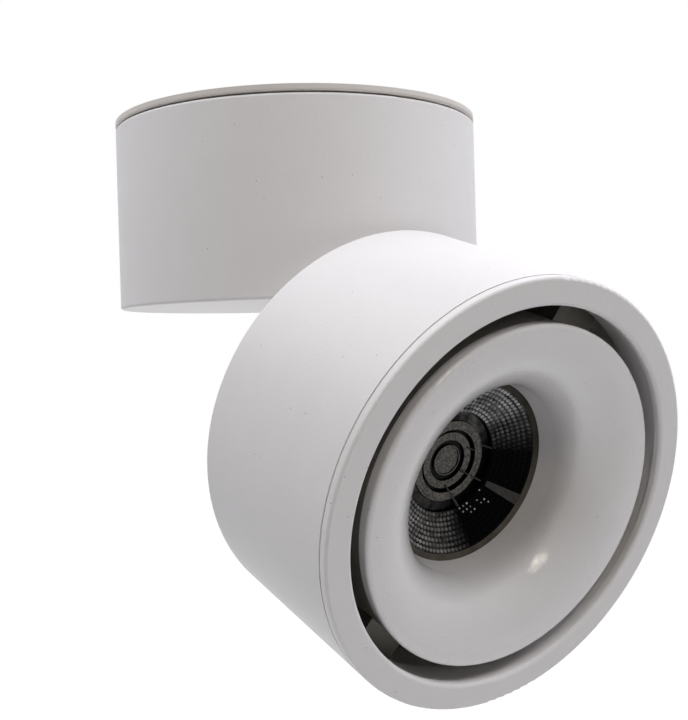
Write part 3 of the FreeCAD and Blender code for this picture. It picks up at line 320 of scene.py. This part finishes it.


# The rim's lighter and darker parts round the axis are painted light and shade; the grey of the
# wall and beads is a painted reflection.
RIM_WITH_PAINTED_LIGHT = painted_light_optic("ground_pc_rim_painted_light_and_shade", "#56534B", "#66625A", 4.0, RIM_PAINTED_LIGHT_STOPS)
WALL_WITH_PAINTED_REFLECTION = painted_light_optic("pc_wall_painted_reflection", "#2B2B2D", "#7A7874", 2.5)
BEADS_WITH_PAINTED_REFLECTION = painted_light_optic("pc_beads_painted_reflection", "#77787B", "#F2F3F3", 2.4)
# Near-white beads: a painted glint.
PAINTED_GLINT_FINISH = grained("pc_beads_painted_glint", "#8F8F8C", "#F4F4F0", 0.3, 0.004, 0.2, drift_mm=1.2,
                       contrast=3.0)
print("stops of frost round the wall and rim:", len(PAINTED_LIGHT_STOPS), len(RIM_PAINTED_LIGHT_STOPS))

# %% [markdown]
# ## The lens bowl
# A sloping wall throws the light forward, and in its middle, steps ring the small source. The
# outline runs over the rim, down the wall, across the steps to the axis, and back underneath.

# %% Lens bowl
BOWL_RIM = (20.9, 19.0)
BOWL_FOOT = (12.6, 24.4)
WALL_STEPS = 10
WALL_CURVE = 0.8
RIM_RING = (20.9, 24.0)
WALL_RING = (10.2, 20.9)
STEP_RINGS = [(7.9, 10.0), (5.1, 7.0), (3.5, 3.8), (0.0, 3.4)]
FACES_FRONT = 0.3


def bowl_point(t):
    """A point of the bowl's wall: t runs from its rim, 0, to its foot, 1."""
    radius = BOWL_RIM[0] + (BOWL_FOOT[0] - BOWL_RIM[0]) * t
    depth = BOWL_RIM[1] + (BOWL_FOOT[1] - BOWL_RIM[1]) * t ** WALL_CURVE
    return radius, depth


def finish_rings(piece, material, rings):
    """Gives a material to the front faces whose distance from the head's axis is in a ring."""
    piece.data.materials.append(material)
    to_head = HEAD.inverted()
    for face in piece.data.polygons:
        middle = to_head @ face.center / MM
        out = math.hypot(middle.x, middle.y)
        in_front = (to_head.to_3x3() @ face.normal).z > FACES_FRONT
        if in_front and any(low < out < high for low, high in rings):
            face.material_index = len(piece.data.materials) - 1


rim = [(24.0, 18.5), (22.3, 18.5)]
wall = [bowl_point(i / WALL_STEPS) for i in range(WALL_STEPS + 1)]
steps_down = [
    (12.4, 25.4), (10.2, 25.4), (10.0, 25.0), (7.9, 25.0), (7.8, 26.3), (7.1, 26.3), (7.0, 25.6),
    (5.1, 25.6), (5.0, 26.2), (3.9, 26.2), (3.8, 25.7), (3.5, 25.7), (3.4, 26.0), (0.0, 26.0),
]
underside = [(0.0, 26.85), (12.8, 26.6), (21.8, 20.5), (24.0, 20.5)]
lens_bowl = settle(spun("lens_bowl", rim + wall + steps_down + underside), FINISHES["lens_clear"])
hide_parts("lens")
finish_rings(lens_bowl, RIM_WITH_PAINTED_LIGHT, [RIM_RING])
finish_rings(lens_bowl, STEP_FINISH, STEP_RINGS)
finish_rings(lens_bowl, WALL_WITH_PAINTED_REFLECTION, [WALL_RING])
print("lens finishes:", [m.name for m in lens_bowl.data.materials])

# %% [markdown]
# ## The beads
# The bowl's wall is covered with small domes. One is modelled here: a small sphere is cut at its
# middle and squashed.

# %% One bead
BEAD_PITCH = 1.15
BEAD_RADIUS = 0.46
BEAD_FLATNESS = 0.6
BEAD_CREASE = 60
deselect()
bpy.ops.mesh.primitive_uv_sphere_add(segments=8, ring_count=6, radius=BEAD_RADIUS * MM)
bead = bpy.context.object
bpy.ops.object.mode_set(mode="EDIT")
bpy.ops.mesh.select_all(action="SELECT")
bpy.ops.mesh.bisect(plane_co=(0, 0, 0), plane_no=(0, 0, 1), clear_inner=True, use_fill=True)
bpy.ops.mesh.select_all(action="SELECT")
bpy.ops.transform.resize(value=(1, 1, BEAD_FLATNESS))
bpy.ops.object.mode_set(mode="OBJECT")
bpy.ops.object.shade_smooth_by_angle(angle=math.radians(BEAD_CREASE))
print("faces of one bead:", len(bead.data.polygons))

# %% [markdown]
# ## The bead field
# The bead is copied to rings 1.15 mm apart round the wall and turned square to it, and the copies
# are joined. Every other ring is shifted by half a step. A few beads near the wall's foot are
# smaller and carry a painted glint, a near-white colour, so they are a piece of their own.

# %% Bead field
SPARKLE_DEGREES = (-68, -36)
SPARKLE_FROM = 0.5
SPARKLE_CHANCE = 0.55
SPARKLE_SIZES = (0.35, 0.62)
WALL_NUDGE = 0.01
chance = random.Random(5)


def joined(name, copies):
    """Joins copies into one piece."""
    deselect()
    for copy in copies:
        copy.select_set(True)
    bpy.context.view_layer.objects.active = copies[0]
    bpy.ops.object.join()
    piece = bpy.context.object
    piece.name = name
    bpy.ops.object.transform_apply(location=True, rotation=True, scale=True)
    return piece


ring_count = int(math.dist(BOWL_RIM, BOWL_FOOT) / BEAD_PITCH)
beads = {"lens_beads": [], "lens_painted_glints": []}
for ring in range(ring_count):
    t = (ring + 0.5) / ring_count
    radius, depth = bowl_point(t)
    next_radius, next_depth = bowl_point(t + WALL_NUDGE)
    tilt = math.atan2(next_depth - depth, radius - next_radius)
    out = Matrix.Translation(Vector((radius, 0, HEAD_LENGTH - depth)) * MM)
    around = round(2 * math.pi * radius / BEAD_PITCH)
    for step in range(around):
        angle = 2 * math.pi * (step + 0.5 * (ring % 2)) / around
        degrees = (math.degrees(angle) + 180) % 360 - 180
        # Beads chosen here get the painted glint colour.
        in_sector = t > SPARKLE_FROM and SPARKLE_DEGREES[0] < degrees < SPARKLE_DEGREES[1]
        sparkling = in_sector and chance.random() < SPARKLE_CHANCE
        size = chance.uniform(*SPARKLE_SIZES) if sparkling else 1.0
        copy = bead.copy()
        copy.data = bead.data.copy()
        bpy.context.collection.objects.link(copy)
        upright = Matrix.Rotation(-tilt, 4, "Y") @ Matrix.Scale(size, 4)
        copy.matrix_world = Matrix.Rotation(angle, 4, "Z") @ out @ upright
        beads["lens_painted_glints" if sparkling else "lens_beads"].append(copy)
bpy.data.objects.remove(bead)
for name, finish in (("lens_beads", BEADS_WITH_PAINTED_REFLECTION), ("lens_painted_glints", PAINTED_GLINT_FINISH)):
    print(name, "beads:", len(beads[name]))
    settle(joined(name, beads[name]), finish)

# %% [markdown]
# ## The ribs
# Fine ribs cross the steps and end on the wall. Each starts as a flat block, its far end is
# widened, and its edges are bevelled.

# %% Lens ribs
RIB_TALL = 0.5
RIB_BEVEL = 0.08
RIBS = (  # start and end (x, y, depth), and the widths there, in millimetres
    ((4.4, -2.9, 25.5), (11.6, -6.2, 24.9), 0.35, 0.5),
    ((11.8, -6.2, 23.8), (18.6, -9.3, 19.1), 1.4, 2.8),
    ((9.0, 3.6, 24.9), (12.9, 2.3, 24.6), 0.4, 0.4),
    ((5.2, 2.9, 25.5), (8.0, 2.0, 25.4), 0.3, 0.3),
    ((0.5, -6.3, 25.4), (5.0, -12.0, 24.6), 0.4, 0.6),
)


def rib(start, end, start_width, end_width):
    """A flat tapered bar from start to end."""
    first, last = (Vector((x, y, HEAD_LENGTH - depth)) * MM for x, y, depth in (start, end))
    deselect()
    bpy.ops.mesh.primitive_cube_add(size=1)
    bar = bpy.context.object
    bpy.ops.object.mode_set(mode="EDIT")
    bpy.ops.transform.resize(value=((last - first).length, start_width * MM, RIB_TALL * MM))
    bpy.ops.mesh.select_all(action="DESELECT")
    bpy.ops.object.mode_set(mode="OBJECT")
    for face in bar.data.polygons:
        face.select = face.normal.x > 0.9
    bpy.ops.object.mode_set(mode="EDIT")
    bpy.ops.transform.resize(value=(1, end_width / start_width, 1))
    bpy.ops.mesh.select_all(action="SELECT")
    bpy.ops.mesh.bevel(offset=RIB_BEVEL * MM, segments=2)
    bpy.ops.object.mode_set(mode="OBJECT")
    along = (last - first).normalized()
    side = Vector((0, 0, 1)).cross(along).normalized()
    turn = Matrix((along, side, along.cross(side))).transposed().to_4x4()
    bar.matrix_world = Matrix.Translation((first + last) / 2) @ turn
    return bar


settle(joined("lens_ribs", [rib(*row) for row in RIBS]), RIB_FINISH)

# %% [markdown]
# ## The camera
# The camera was found by fitting both cylinders to the photograph. The long side of the picture
# is the sensor's 36 mm, so the focal length follows from the field of view.

# %% Camera
SENSOR_MM = 36.0
FOCAL_MM = 53.61
CAMERA_PLACE = (-0.16090, -0.25913, -0.06249)
CAMERA_DEGREES = (89.228, 1.623, -34.084)
camera = bpy.data.objects.new("camera", bpy.data.cameras.new("camera"))
bpy.context.collection.objects.link(camera)
camera.data.sensor_width = SENSOR_MM
camera.data.lens = FOCAL_MM
camera.data.clip_start = 0.01
camera.location = CAMERA_PLACE
camera.rotation_euler = [math.radians(a) for a in CAMERA_DEGREES]
bpy.context.scene.camera = camera
bpy.context.scene.view_settings.view_transform = "Standard"
print("camera to the base, mm:", round(camera.location.length / MM))

# %% [markdown]
# ## The lamps
# A product like this is lit softly, mostly from above. Two large lamps stand for windows, one
# lamp lifts the far side, and a small warm one leaves the gleam on the funnel. The lamps from
# the right and from behind leave none, so screws and funnel aren't covered by their mirror image.

# %% Lamps
LAMP_DISTANCE = 0.7
LIT_POINT = (0, -0.045, -0.07)


def softbox(name, direction, power, colour=(1, 1, 1), size=0.5, gleams=True):
    """A square lamp that faces the lamp head from a direction given in the camera's own axes."""
    outward = (camera.rotation_euler.to_matrix() @ Vector(direction)).normalized()
    lamp = bpy.data.objects.new(name, bpy.data.lights.new(name, "AREA"))
    lamp.data.size = size
    lamp.data.energy = power
    lamp.data.color = colour
    lamp.location = Vector(LIT_POINT) + outward * LAMP_DISTANCE
    lamp.rotation_euler = outward.to_track_quat("Z", "Y").to_euler()
    lamp.visible_glossy = gleams
    bpy.context.collection.objects.link(lamp)
    print(name, "watts:", power)


softbox("window_left", (-0.6, 0.8, 0.1), 2.9, (0.94, 0.94, 1.0))
softbox("window_right", (0.6, 0.8, 0.1), 3.7, (0.91, 0.92, 1.0), gleams=False)
softbox("warm_front", (0.15, 0.58, 0.8), 0.6, (1.0, 0.88, 0.74), size=0.05)
softbox("behind", (0, 0.3, -1.0), 2.5, gleams=False)

# %% [markdown]
# ## World and floor
# The world and the white floor are bright only to the camera and in reflections, so the white
# behind the lamp costs no extra light on it, and the floor still takes the lamp's shadow.

# %% World and floor
AMBIENT = 0.15
FLOOR_GLOW = 0.86
FLOOR_SIZE = 6
FLOOR_HEIGHT = -0.45


def strength_when_seen(owner, plain, seen):
    """A strength that is plain for soft light, and seen for the camera, mirrors and glass."""
    path = add_node(owner, "ShaderNodeLightPath")
    mirrored = add_node(owner, "ShaderNodeMath", operation="MAXIMUM",
                        links=[(0, path, "Is Camera Ray"), (1, path, "Is Glossy Ray")])
    either = add_node(owner, "ShaderNodeMath", operation="MAXIMUM",
                      links=[(0, mirrored, "Value"), (1, path, "Is Transmission Ray")])
    strength = add_node(owner, "ShaderNodeMapRange", [("Value", either, "Value")],
                        To_Min=plain, To_Max=seen)
    return strength.outputs["Result"]


world = bpy.data.worlds.new("studio")
bpy.context.scene.world = world
world.use_nodes = True
studio = world.node_tree.nodes["Background"]
studio.inputs["Color"].default_value = (1, 1, 1, 1)
world.node_tree.links.new(strength_when_seen(world, AMBIENT, 1.0), studio.inputs["Strength"])

deselect()
bpy.ops.mesh.primitive_plane_add(size=FLOOR_SIZE, location=(0, 0, FLOOR_HEIGHT))
floor = bpy.context.object
floor.name = "floor"
paper = bpy.data.materials.new("white_paper_sweep")
paper.use_nodes = True
paper_shader = paper.node_tree.nodes["Principled BSDF"]
paper_shader.inputs["Base Color"].default_value = (0.85, 0.85, 0.85, 1)
paper_shader.inputs["Roughness"].default_value = 0.9
paper_shader.inputs["Emission Color"].default_value = (1, 1, 1, 1)
paper.node_tree.links.new(strength_when_seen(paper, 0.0, FLOOR_GLOW),
                          paper_shader.inputs["Emission Strength"])
floor.data.materials.append(paper)
print("floor below the ceiling, mm:", round(-FLOOR_HEIGHT / MM))
